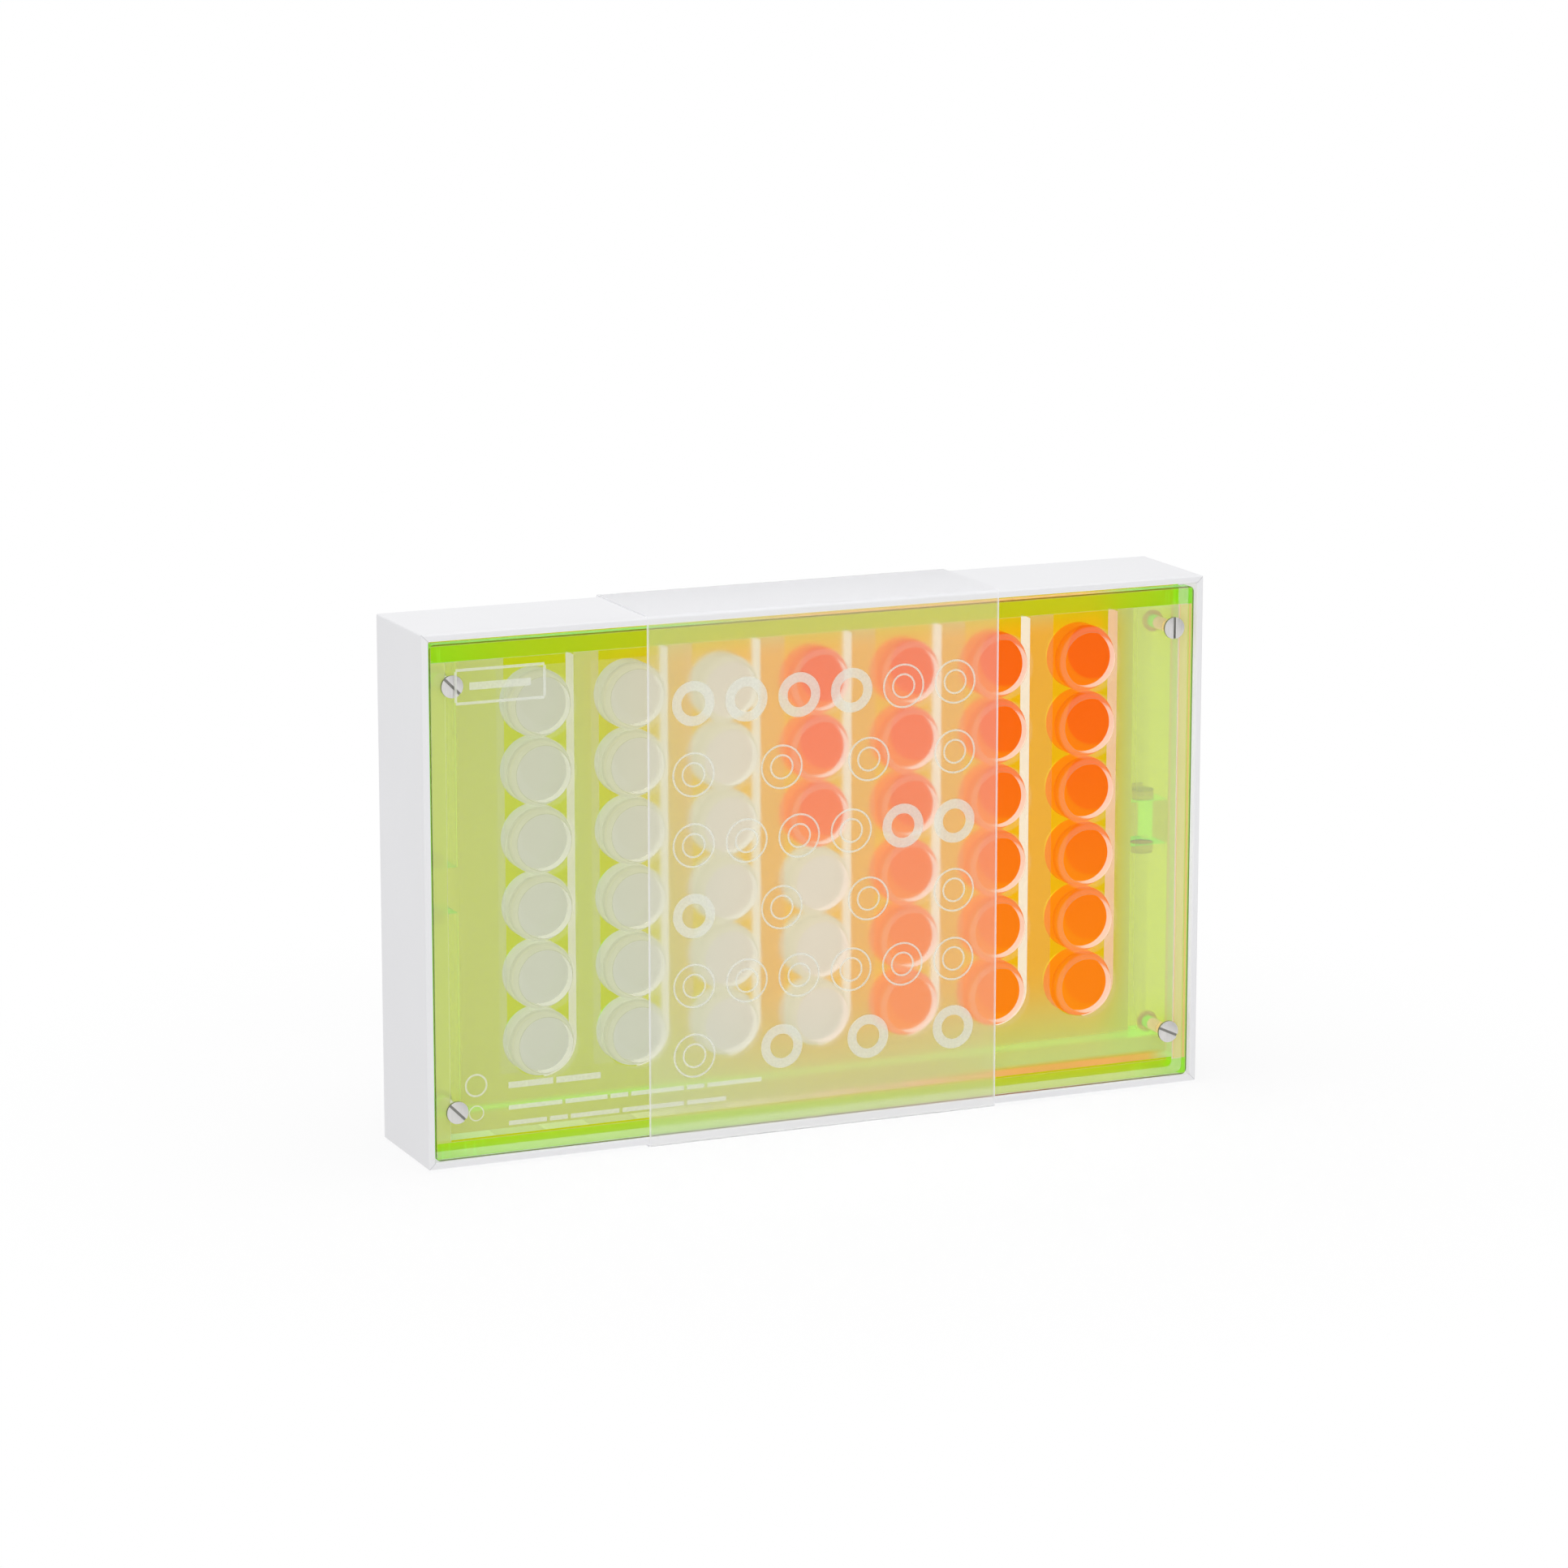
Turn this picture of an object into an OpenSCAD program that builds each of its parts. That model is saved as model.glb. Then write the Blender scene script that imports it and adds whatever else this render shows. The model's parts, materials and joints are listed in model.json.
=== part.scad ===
// Table-top four in a row, packed in its storage tray.
//
// A neon acrylic board (two panels of sight holes round a slotted spacer, held by four
// binding screws) stands on its long edge in a rigid card tray. The discs are dropped
// in its columns, two notched feet are stored in a card insert behind it, a thin clear
// cover lies over its front, and a frosted sleeve goes round the middle of the tray.
//
// X runs along the board, Y from front to back, Z up. The origin is the middle of the
// footprint, on the surface that the sleeve's underside rests on.

/* [Tray] */
// Outer width of the tray, along the board
tray_w = 360; // [350:1:380]
// Outer height of the tray as it stands on its long edge
tray_h = 226.6; // [222:0.2:250]
// Depth of the tray, from its open front to its closed back
tray_d = 56; // [50:1:80]
// Thickness of the wrapped card walls
tray_wall = 3; // [2:0.5:3.5]
// Radius of the tray's outer corners, seen from the front
tray_corner_r = 1; // [0.5:0.1:2]

/* [Sleeve] */
// Length of the sleeve along the tray
sleeve_len = 162; // [80:1:240]
// Thickness of the sleeve's plastic sheet
sleeve_t = 0.6; // [0.4:0.1:1]
// Gap between the sleeve and the tray, all round
sleeve_gap = 0.4; // [0.3:0.1:1]
// Radius of the sleeve's folds, on the outside
sleeve_corner_r = 1.6; // [1:0.1:2]

/* [Board] */
// Width of the two panels
board_w = 352.6; // [348:0.2:353.6]
// Height of the two panels
board_h = 219; // [216:0.5:219.5]
// Radius of the panels' corners
board_corner_r = 2.5; // [1:0.5:5]
// How far the front panel's face lies behind the tray's rim
board_setback = 2; // [1.8:0.1:4]
// Thickness of each panel
panel_t = 5; // [3:0.5:6]
// Thickness of the slotted spacer between the panels
spacer_t = 9; // [8.8:0.1:10]
// How far the spacer's sides stay inside the panels' sides
spacer_side_inset = 3.5; // [1:0.5:5]
// How far the spacer's bottom stays above the panels' bottom
spacer_low_inset = 7; // [1:0.5:10]
// How far the spacer's top stays below the panels' top
spacer_top_inset = 8.5; // [1:0.5:10]

/* [Columns and discs] */
// Spacing of the columns
column_pitch = 42.15; // [40:0.05:44]
// Diameter of a disc
disc_d = 28.9; // [28:0.1:29]
// Thickness of a disc
disc_t = 8.4; // [7:0.1:8.4]
// Bevel on a disc's edges
disc_bevel = 0.5; // [0.2:0.1:1]
// Spacing of the rows, a hair more than a disc
row_pitch = 29; // [29:0.05:29.4]
// Height of the lowest discs' centres above the board's bottom edge
first_row = 45; // [40:0.5:46]
// Width of a column's slot
slot_w = 31; // [30:0.5:33]
// Gap under the lowest disc of each column
slot_floor_gap = 0.3; // [0.3:0.1:1]
// Diameter of the round sight holes in both panels
sight_hole_d = 24; // [20:0.5:26]

/* [Binding screws] */
// Distance between the screws, along the board
screw_span_x = 333.2; // [328:0.2:335]
// Distance between the screws, up the board
screw_span_z = 180.8; // [170:0.2:184]
// Height of the lower screws above the board's bottom edge
screw_low = 20.4; // [18:0.2:22]
// Diameter of the flat slotted heads
head_d = 9.5; // [8:0.5:10]
// Thickness of the heads
head_t = 1.2; // [0.8:0.1:1.4]
// Outer diameter of the threaded post that passes through the board
post_d = 5.5; // [4.5:0.5:6]
// Diameter of the screw's shank inside the post
shank_d = 4; // [3:0.5:4]

/* [Clear cover] */
// Thickness of the clear cover sheet in front of the board
cover_t = 0.4; // [0.2:0.1:0.5]

/* [Feet] */
// Length of a foot, standing up in the insert
foot_len = 194; // [180:1:196]
// Width of a foot, along the board
foot_w = 18.6; // [17:0.2:19]
// Depth of a foot, front to back
foot_d = 18; // [16:0.5:20]
// Width of the notch that grips the board's edge
foot_notch = 19.4; // [19.2:0.1:21]
// Width of the neck that joins the foot's two halves
neck_w = 4; // [3:0.2:4]
// Depth of the neck
neck_d = 7; // [5:0.5:8]
// Distance of the neck from the foot's outer side
neck_inset = 1.5; // [0.5:0.1:2]
// Diameter of the round recess in each face of the notch
recess_d = 10; // [9.6:0.2:10]
// Distance of the recess's centre from the foot's front
recess_back = 6.5; // [6:0.1:8]
// Depth of the recess
recess_depth = 4.5; // [2:0.5:6]

/* [Card insert] */
// Thickness of the insert's card
insert_t = 2; // [1:0.5:3]
// Gap between a foot and its pocket, on each side
pocket_gap = 0.3; // [0.2:0.1:1]

/* [Hidden] */
$fn = 72;
eps = 0.01;
columns = 7;
rows = 6;
clearance = 0.1;                                   // between a fastener and its hole

tray_z = sleeve_t + sleeve_gap;                    // the tray's underside
tray_mid_z = tray_z + tray_h / 2;
front_y = -tray_d / 2;                             // the plane of the tray's rim
floor_y = tray_d / 2 - tray_wall;                  // the inside of the tray's back

board_z = tray_z + tray_wall;                      // the panels' bottom edge
panel_y = front_y + board_setback;                 // front face of the front panel
spacer_y = panel_y + panel_t;
back_panel_y = spacer_y + spacer_t;
board_back_y = back_panel_y + panel_t;
board_t = board_back_y - panel_y;
spacer_top = board_z + board_h - spacer_top_inset;
cover_y = panel_y - head_t - clearance - cover_t;  // front face of the clear cover

insert_y = board_back_y + 0.2;                     // front face of the insert
foot_y = board_back_y + head_t + 0.3;              // clears the heads behind the board
foot_z = tray_mid_z - foot_len / 2;
foot_x = screw_span_x / 2;                         // the feet stand behind the screws
inner_w = tray_w - 2 * tray_wall;
inner_h = tray_h - 2 * tray_wall;
insert_w = inner_w - 0.4;
insert_h = inner_h - 0.4;

fixed_nodes = ["tray", "insert", "sleeve", "clear_cover", "front_panel", "spacer",
    "back_panel", "binding_screws", "binding_posts", "foot_left", "foot_right"];
disc_nodes = [for (c = [1:columns]) for (r = [1:rows]) disc_name(c, r)];

function disc_name(c, r) = str("disc_c", c, "_r", r);
function column_x(c) = (c - (columns + 1) / 2) * column_pitch;
function row_z(r) = board_z + first_row + (r - 1) * row_pitch;
// White discs fill the left half of the board and orange ones the right half
function is_white(c, r) = c < 4 || (c == 4 && r <= 3);

white_card = [0.95, 0.95, 0.96];
neon_green = [0.62, 0.95, 0.1, 0.45];
clear_pink = [0.98, 0.86, 0.78, 0.3];
milky_green = [0.82, 0.88, 0.55, 0.4];
frosted = [0.96, 0.95, 0.94, 0.45];
clear_sheet = [0.95, 0.97, 0.97, 0.2];
steel = [0.75, 0.75, 0.77];
disc_white = [0.85, 0.87, 0.8];
disc_orange = [1, 0.45, 0.02];

// A rectangle with round corners, centred
module rounded_rect(w, h, r) {
    square([w - 2 * r, h], center = true);
    square([w, h - 2 * r], center = true);
    for (x = [-1, 1], y = [-1, 1])
        translate([x * (w / 2 - r), y * (h / 2 - r)]) circle(r);
}

// Stands a drawing of (X, Z) upright and thickens it from y0 towards the back
module upright(y0, t) {
    translate([0, y0 + t, 0]) rotate([90, 0, 0]) linear_extrude(t) children();
}

// A round hole or rod along Y, from y0 over the length t
module along_y(x, y0, z, d, t) {
    translate([x, y0 + t, z]) rotate([90, 0, 0]) cylinder(d = d, h = t);
}

// Repeats its children at the four screws, in the drawing plane
module at_screws() {
    for (x = [-1, 1], z = [0, 1])
        translate([x * screw_span_x / 2, board_z + screw_low + z * screw_span_z]) children();
}

module tray() {
    color(white_card) difference() {
        translate([0, 0, tray_mid_z]) upright(front_y, tray_d)
            rounded_rect(tray_w, tray_h, tray_corner_r);
        translate([-inner_w / 2, front_y - 1, tray_z + tray_wall])
            cube([inner_w, tray_d - tray_wall + 1, inner_h]);
    }
}

// A card platform that holds the board at the rim, with a pocket for each foot
module insert() {
    pocket_w = foot_w + 2 * pocket_gap;
    pocket_h = foot_len + 2 * pocket_gap;
    pocket_floor_y = foot_y + foot_d;
    step_d = pocket_floor_y + insert_t - insert_y;
    leg_d = floor_y - insert_y;
    color(white_card) {
        difference() {
            union() {
                translate([0, 0, tray_mid_z]) upright(insert_y, insert_t)
                    square([insert_w, insert_h], center = true);
                for (x = [-foot_x, foot_x]) translate([x, 0, tray_mid_z])
                    upright(insert_y, step_d)
                    square([pocket_w + 2 * insert_t, pocket_h + 2 * insert_t], center = true);
            }
            for (x = [-foot_x, foot_x]) translate([x, 0, tray_mid_z])
                upright(insert_y - 1, pocket_floor_y - insert_y + 1)
                square([pocket_w, pocket_h], center = true);
            // the outer side of each pocket is the tray's own wall
            for (x = [-1, 1]) translate([x * (insert_w / 2 + 10), 0, tray_mid_z])
                upright(insert_y - 1, leg_d + 2)
                square([20, inner_h + 20], center = true);
        }
        for (z = [-1, 1]) translate([0, 0, tray_mid_z + z * (insert_h - insert_t) / 2])
            upright(insert_y, leg_d) square([insert_w, insert_t], center = true);
    }
}

// A flat tube of thin sheet that goes round the tray
module sleeve() {
    outer_d = tray_d + 2 * (sleeve_gap + sleeve_t);
    outer_h = tray_h + 2 * (sleeve_gap + sleeve_t);
    color(frosted) translate([-sleeve_len / 2, 0, tray_mid_z])
        rotate([90, 0, 90]) linear_extrude(sleeve_len) difference() {
            rounded_rect(outer_d, outer_h, sleeve_corner_r);
            rounded_rect(outer_d - 2 * sleeve_t, outer_h - 2 * sleeve_t,
                sleeve_corner_r - sleeve_t);
        }
}

module clear_cover() {
    color(clear_sheet) translate([0, 0, board_z + board_h / 2])
        upright(cover_y, cover_t) rounded_rect(board_w, board_h, board_corner_r);
}

// One of the two panels: a sight hole over each disc and a hole for each post
module panel(y0) {
    upright(y0, panel_t) difference() {
        translate([0, board_z + board_h / 2]) rounded_rect(board_w, board_h, board_corner_r);
        for (c = [1:columns], r = [1:rows])
            translate([column_x(c), row_z(r)]) circle(d = sight_hole_d);
        at_screws() circle(d = post_d + 2 * clearance);
    }
}

module front_panel() {
    color(clear_pink) panel(panel_y);
}

module back_panel() {
    color(neon_green) panel(back_panel_y);
}

// The comb between the panels: seven slots, round at the foot and open at the top
module spacer() {
    low = board_z + spacer_low_inset;
    slot_z = row_z(1) - disc_d / 2 - slot_floor_gap + slot_w / 2;
    color(milky_green) upright(spacer_y, spacer_t) difference() {
        translate([0, (low + spacer_top) / 2])
            square([board_w - 2 * spacer_side_inset, spacer_top - low], center = true);
        for (c = [1:columns]) translate([column_x(c), slot_z]) {
            circle(d = slot_w);
            translate([-slot_w / 2, 0]) square([slot_w, spacer_top - slot_z + 1]);
        }
        at_screws() circle(d = post_d + 2 * clearance);
    }
}

// A flat head with a screwdriver slot turned to the given angle, facing the front
module slotted_head(turn) {
    slot_across = 1.1;
    slot_depth = 0.6;
    difference() {
        along_y(0, 0, 0, head_d, head_t);
        rotate([0, -turn, 0]) translate([-head_d, -1, -slot_across / 2])
            cube([2 * head_d, 1 + slot_depth, slot_across]);
    }
}

module binding_screw(x, z, turn) {
    shank_len = 12;
    color(steel) translate([x, panel_y - head_t, z]) {
        slotted_head(turn);
        along_y(0, head_t - eps, 0, shank_d, shank_len);
    }
}

// A tapped post with a slotted head of its own behind the board
module binding_post(x, z) {
    bore_depth = 14;
    color(steel) difference() {
        union() {
            along_y(x, panel_y, z, post_d, board_t + eps);
            translate([x, board_back_y + head_t, z]) rotate([0, 0, 180]) slotted_head(90);
        }
        along_y(x, panel_y - 1, z, shank_d + clearance, bore_depth + 1);
    }
}

module binding_screws() {
    low = board_z + screw_low;
    high = low + screw_span_z;
    binding_screw(-screw_span_x / 2, high, -45);
    binding_screw(-screw_span_x / 2, low, -45);
    binding_screw(screw_span_x / 2, high, 90);
    binding_screw(screw_span_x / 2, low, -25);
}

module binding_posts() {
    for (x = [-1, 1], z = [0, 1])
        binding_post(x * screw_span_x / 2, board_z + screw_low + z * screw_span_z);
}

// A bar with a notch across its middle, and a round recess in each face of the notch.
// The side is -1 for the left foot and 1 for the right one: the neck is on that side.
module foot(side) {
    notch_low = tray_mid_z - foot_notch / 2;
    neck_x = side * (foot_w / 2 - neck_inset - neck_w / 2);
    color(neon_green) translate([side * foot_x, foot_y, 0]) difference() {
        translate([-foot_w / 2, 0, foot_z]) cube([foot_w, foot_d, foot_len]);
        difference() {
            translate([-foot_w / 2 - 1, -1, notch_low])
                cube([foot_w + 2, foot_d + 2, foot_notch]);
            translate([neck_x - neck_w / 2, foot_d - neck_d, notch_low - 1])
                cube([neck_w, neck_d, foot_notch + 2]);
        }
        for (z = [notch_low - recess_depth, notch_low + foot_notch])
            translate([0, recess_back, z]) cylinder(d = recess_d, h = recess_depth);
    }
}

module foot_left() {
    foot(-1);
}

module foot_right() {
    foot(1);
}

module disc(c, r) {
    radius = disc_d / 2;
    color(is_white(c, r) ? disc_white : disc_orange)
        translate([column_x(c), spacer_y + spacer_t / 2, row_z(r)]) rotate([90, 0, 0])
        rotate_extrude() polygon([[0, -disc_t / 2], [radius - disc_bevel, -disc_t / 2],
            [radius, -disc_t / 2 + disc_bevel], [radius, disc_t / 2 - disc_bevel],
            [radius - disc_bevel, disc_t / 2], [0, disc_t / 2]]);
}

tray();
insert();
sleeve();
clear_cover();
front_panel();
spacer();
back_panel();
binding_screws();
binding_posts();
foot_left();
foot_right();
for (c = [1:columns], r = [1:rows])
    disc(c, r);
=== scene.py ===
"""Looks of the boxed acrylic four in a row: materials and detailed pieces round the CAD frame."""

import json
import math

import bmesh
import bpy
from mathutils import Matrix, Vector


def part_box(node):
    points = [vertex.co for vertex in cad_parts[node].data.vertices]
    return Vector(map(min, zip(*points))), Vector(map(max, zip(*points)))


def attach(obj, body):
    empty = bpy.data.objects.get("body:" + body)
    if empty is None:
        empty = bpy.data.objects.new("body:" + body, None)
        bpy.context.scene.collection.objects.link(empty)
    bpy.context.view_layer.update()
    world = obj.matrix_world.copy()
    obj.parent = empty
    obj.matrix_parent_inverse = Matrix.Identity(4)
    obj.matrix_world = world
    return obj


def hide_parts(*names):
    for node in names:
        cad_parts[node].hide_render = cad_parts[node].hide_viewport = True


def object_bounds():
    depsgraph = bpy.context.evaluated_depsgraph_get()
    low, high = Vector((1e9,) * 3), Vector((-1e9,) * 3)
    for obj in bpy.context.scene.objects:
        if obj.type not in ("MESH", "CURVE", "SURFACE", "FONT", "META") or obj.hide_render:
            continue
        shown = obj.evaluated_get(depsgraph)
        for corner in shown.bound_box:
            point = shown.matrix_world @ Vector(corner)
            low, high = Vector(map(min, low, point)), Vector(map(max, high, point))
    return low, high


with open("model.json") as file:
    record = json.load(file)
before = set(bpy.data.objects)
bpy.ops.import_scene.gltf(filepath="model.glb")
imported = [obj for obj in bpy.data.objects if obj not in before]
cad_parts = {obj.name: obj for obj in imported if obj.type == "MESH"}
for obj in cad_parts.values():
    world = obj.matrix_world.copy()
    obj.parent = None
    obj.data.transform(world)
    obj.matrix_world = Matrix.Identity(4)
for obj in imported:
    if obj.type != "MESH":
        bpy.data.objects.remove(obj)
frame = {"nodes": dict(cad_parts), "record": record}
cad_low, cad_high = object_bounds()
scene = bpy.context.scene
nodes = frame["nodes"]

MM = 0.001
COLUMNS, ROWS = 7, 6

# ---------------------------------------------------------------- places, from the frame
tray_low, tray_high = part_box("tray")
panel_low, panel_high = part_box("front_panel")
back_low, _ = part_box("back_panel")
spacer_low, spacer_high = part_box("spacer")
sleeve_low, sleeve_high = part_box("sleeve")
cover_low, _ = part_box("clear_cover")
screw_low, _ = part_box("binding_screws")


def disc_middle(column, row):
    """The middle of a disc, counting columns from the left and rows from the bottom."""
    low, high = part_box(f"disc_c{column}_r{row}")
    return (low + high) / 2


first_disc = disc_middle(1, 1)
last_disc = disc_middle(COLUMNS, ROWS)
PITCH_X = (last_disc.x - first_disc.x) / (COLUMNS - 1)
PITCH_Z = (last_disc.z - first_disc.z) / (ROWS - 1)
HOLE_R = 12 * MM                  # radius of a sight hole
SLOT_HALF = 15.5 * MM             # half the width of a disc's slot
NOTCH_HALF = 9.7 * MM             # half the height of a foot's notch
CARD = 3 * MM                     # thickness of the tray's walls
SHEET = 0.6 * MM                  # thickness of the sleeve


# ---------------------------------------------------------------- shader graphs in plain sums
def srgb(red, green, blue):
    """A display colour, 0 to 255, as the linear colour that shaders use."""
    def linear(value):
        value /= 255
        return value / 12.92 if value <= 0.04045 else ((value + 0.055) / 1.055) ** 2.4
    return (linear(red), linear(green), linear(blue), 1.0)


class Value:
    """A number that a shader works out at each point, so that graphs read as sums."""

    def __init__(self, graph, socket):
        self.graph, self.socket = graph, socket

    def _math(self, operation, other, swap=False):
        inputs = (other, self) if swap else (self, other)
        return self.graph.math(operation, *inputs)

    def __add__(self, other):
        return self._math("ADD", other)

    def __sub__(self, other):
        return self._math("SUBTRACT", other)

    def __rsub__(self, other):
        return self._math("SUBTRACT", other, swap=True)

    def __mul__(self, other):
        return self._math("MULTIPLY", other)

    def __truediv__(self, other):
        return self._math("DIVIDE", other)

    def above(self, limit):
        return self._math("GREATER_THAN", limit)

    def below(self, limit):
        return self._math("LESS_THAN", limit)

    def absolute(self):
        return self.graph.math("ABSOLUTE", self)

    def lowest(self, other):
        return self._math("MINIMUM", other)

    def highest(self, other):
        return self._math("MAXIMUM", other)


class Graph:
    """A material and the nodes that make it up."""

    def __init__(self, name):
        self.material = bpy.data.materials.new(name)
        self.material.use_nodes = True
        self.tree = self.material.node_tree
        self.tree.nodes.clear()

    def feed(self, socket, value):
        if isinstance(value, Value):
            value = value.socket
        if isinstance(value, bpy.types.NodeSocket):
            self.tree.links.new(value, socket)
        elif value is not None:
            socket.default_value = value

    def node(self, kind, settings=None, **inputs):
        made = self.tree.nodes.new("ShaderNode" + kind)
        for key, value in (settings or {}).items():
            setattr(made, key, value)
        for key, value in inputs.items():
            self.feed(made.inputs[key.replace("_", " ")], value)
        return made

    def math(self, operation, *values):
        made = self.node("Math", {"operation": operation})
        for socket, value in zip(made.inputs, values):
            self.feed(socket, value)
        return Value(self, made.outputs[0])

    def xyz(self, output):
        """The three parts of a texture coordinate, such as Object or Normal."""
        split = self.node("SeparateXYZ", None, Vector=self.node("TexCoord").outputs[output])
        return [Value(self, split.outputs[i]) for i in range(3)]

    def smooth(self, value, start, end):
        """0 before start, 1 after end, and a smooth rise between."""
        made = self.node("MapRange", {"interpolation_type": "SMOOTHSTEP"})
        for socket, number in zip(made.inputs, (value, start, end, 0.0, 1.0)):
            self.feed(socket, number)
        return Value(self, made.outputs[0])

    def ramp(self, value, stops):
        made = self.node("ValToRGB", None, Fac=value)
        points = made.color_ramp.elements
        while len(points) < len(stops):
            points.new(0.5)
        for point, (place, colour) in zip(points, stops):
            point.position, point.color = place, colour
        return made.outputs["Color"]

    def mix(self, share, first, second):
        made = self.node("Mix", {"data_type": "RGBA"})
        self.feed(made.inputs[0], share)
        self.feed(made.inputs[6], first)
        self.feed(made.inputs[7], second)
        return made.outputs[2]

    def noise(self, scale, detail=2.0, roughness=0.5, stretch=None):
        where = self.node("TexCoord").outputs["Object"]
        if stretch:
            where = self.node("Mapping", None, Vector=where, Scale=stretch).outputs[0]
        made = self.node("TexNoise", None, Vector=where, Scale=scale, Detail=detail,
                         Roughness=roughness)
        return Value(self, made.outputs["Fac"])

    def bump(self, height, distance, strength=1.0):
        made = self.node("Bump", None, Height=height, Distance=distance, Strength=strength)
        return made.outputs[0]

    def line(self, distance, core, edge):
        """1 within core of a line, 0 beyond edge, where distance is how far off it a point is."""
        return 1.0 - self.smooth(distance, core, edge)

    def principled(self, **inputs):
        return self.node("BsdfPrincipled", None, **inputs).outputs[0]

    def clear(self, tint):
        return self.node("BsdfTransparent", None, Color=tint).outputs[0]

    def blend(self, share, first, second):
        made = self.node("MixShader", None, Fac=share)
        self.tree.links.new(first, made.inputs[1])
        self.tree.links.new(second, made.inputs[2])
        return made.outputs[0]

    def finish(self, shader):
        self.tree.links.new(shader, self.node("OutputMaterial").inputs["Surface"])
        return self.material


def along_board(graph):
    """0 at the board's left end and 1 at its right end."""
    x = graph.xyz("Object")[0]
    return (x - panel_low.x) / (panel_high.x - panel_low.x)


def in_cell(graph):
    """How far a point lies right of and above the middle of its sight hole, in metres,
    and 1 where the board has sight holes, 0 in its margins."""
    x, _, z = graph.xyz("Object")
    right = graph.math("WRAP", x - first_disc.x, PITCH_X / 2, -PITCH_X / 2)
    up = graph.math("WRAP", z - first_disc.z, PITCH_Z / 2, -PITCH_Z / 2)
    middle = first_disc.z + (ROWS - 1) / 2 * PITCH_Z
    inside = x.absolute().below(COLUMNS / 2 * PITCH_X) * (z - middle).absolute().below(
        ROWS / 2 * PITCH_Z)
    return right, up, inside


FACE_DEPTH = 0.3 * MM             # a point this close to a piece's front plane is on its face


def y_front(graph, low):
    """1 on the front face of a piece that starts at low, and 0 further back."""
    return graph.xyz("Object")[1].below(low.y + FACE_DEPTH)


def orange_light(graph):
    """How much the orange discs colour the sheet round them: 0 at the left, 1 among them."""
    z = graph.xyz("Object")[2]
    place = along_board(graph)
    # the orange discs reach one column further left in the upper rows
    height = (z - panel_low.z) / (panel_high.z - panel_low.z)
    rise = graph.smooth(place + height * 0.12, 0.25, 0.56)
    fall = 1.0 - graph.smooth(place, 0.885, 0.935)
    low = graph.smooth(z, panel_low.z + 6 * MM, panel_low.z + 58 * MM) * 0.8 + 0.2
    high = 1.0 - graph.smooth(z, spacer_high.z - 10 * MM, spacer_high.z + 3 * MM) * 0.6
    return rise * fall * low * high


# ---------------------------------------------------------------- materials
def mitre_creases(graph):
    """The folds of the wrapping paper, which run across the rim's four corners: a mask for their
    dent and their painted shade.
    """
    x, y, z = graph.xyz("Object")
    middle = (tray_low.z + tray_high.z) / 2
    from_side = tray_high.x - x.absolute()
    from_end = (tray_high.z - tray_low.z) / 2 - (z - middle).absolute()
    at_rim = y.below(tray_low.y + 2 * MM) * from_side.below(CARD + 1 * MM)
    return graph.line((from_side - from_end).absolute(), 0.05 * MM, 0.35 * MM) * at_rim


def card_material(name, colour, rim=False, glow=0.0):
    """White paper wrapped round card: a fine fibre grain and faint clouding."""
    graph = Graph(name)
    grain = graph.noise(2600, 4.0, 0.65)
    cloud = graph.noise(14, 3.0)
    height = grain
    shade = graph.mix(cloud, srgb(*colour), srgb(*[c - 5 for c in colour]))
    if rim:
        crease_and_shade = mitre_creases(graph)
        height = grain - crease_and_shade * 12.0
        # painted shade: the folds are darkened to a lavender grey
        shade = graph.mix(crease_and_shade * 0.35, shade, srgb(150, 148, 160))
    return graph.finish(graph.principled(
        Base_Color=shade, Roughness=0.62, Specular_IOR_Level=0.25,
        Emission_Color=(1, 1, 1, 1), Emission_Strength=glow,
        Normal=graph.bump(height, 0.00002, 0.35)))


def glowing(graph, colour, glow, roughness=0.12, specular=0.1):
    """A body colour that also glows a little, as fluorescent acrylic does."""
    return graph.principled(
        Base_Color=colour, Roughness=roughness, Specular_IOR_Level=specular,
        Emission_Color=colour, Emission_Strength=glow)


def lets_light_in(graph, shader):
    """A clear piece tints what is seen through it, and leaves the light that falls on it whole."""
    path = graph.node("LightPath")
    for ray in ("Is Diffuse Ray", "Is Shadow Ray"):
        shader = graph.blend(path.outputs[ray], shader, graph.clear((1, 1, 1, 1)))
    return graph.finish(shader)


def neon_material():
    """The back panel: clear neon green, tinted orange where the orange discs light it."""
    graph = Graph("neon_panel")
    cloud = graph.noise(11, 2.0)
    orange = orange_light(graph) * (graph.smooth(cloud, 0.2, 0.8) * 0.16 + 0.9)
    tint = graph.mix(orange, (0.755, 0.80, 0.10, 1), (0.985, 0.70, 0.055, 1))
    edge = graph.xyz("Normal")[1].absolute().below(0.5)
    # light piped along the sheet wells up in a soft band near its foot
    z = graph.xyz("Object")[2]
    band = graph.line((z - panel_low.z - 17 * MM).absolute(), 0, 3.2 * MM)
    band = band * y_front(graph, back_low)
    # among the white discs the sheet shows a pale sheen down in the slots
    right, _, inside = in_cell(graph)
    sheen = right.absolute().below(SLOT_HALF) * inside * y_front(graph, back_low) * (
        1.0 - graph.smooth(along_board(graph), 0.25, 0.5))
    face = graph.mix(sheen, srgb(176, 214, 10), srgb(206, 208, 240))
    glow = graph.mix(orange, srgb(160, 250, 40), srgb(244, 232, 150))
    body = graph.mix(edge.highest(band), face, glow)
    haze = (edge * 0.8).highest(band * 0.42).highest(sheen * 0.085).highest(0.01)
    return lets_light_in(graph, graph.blend(haze, graph.clear(tint), glowing(graph, body, 0.3)))


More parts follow.
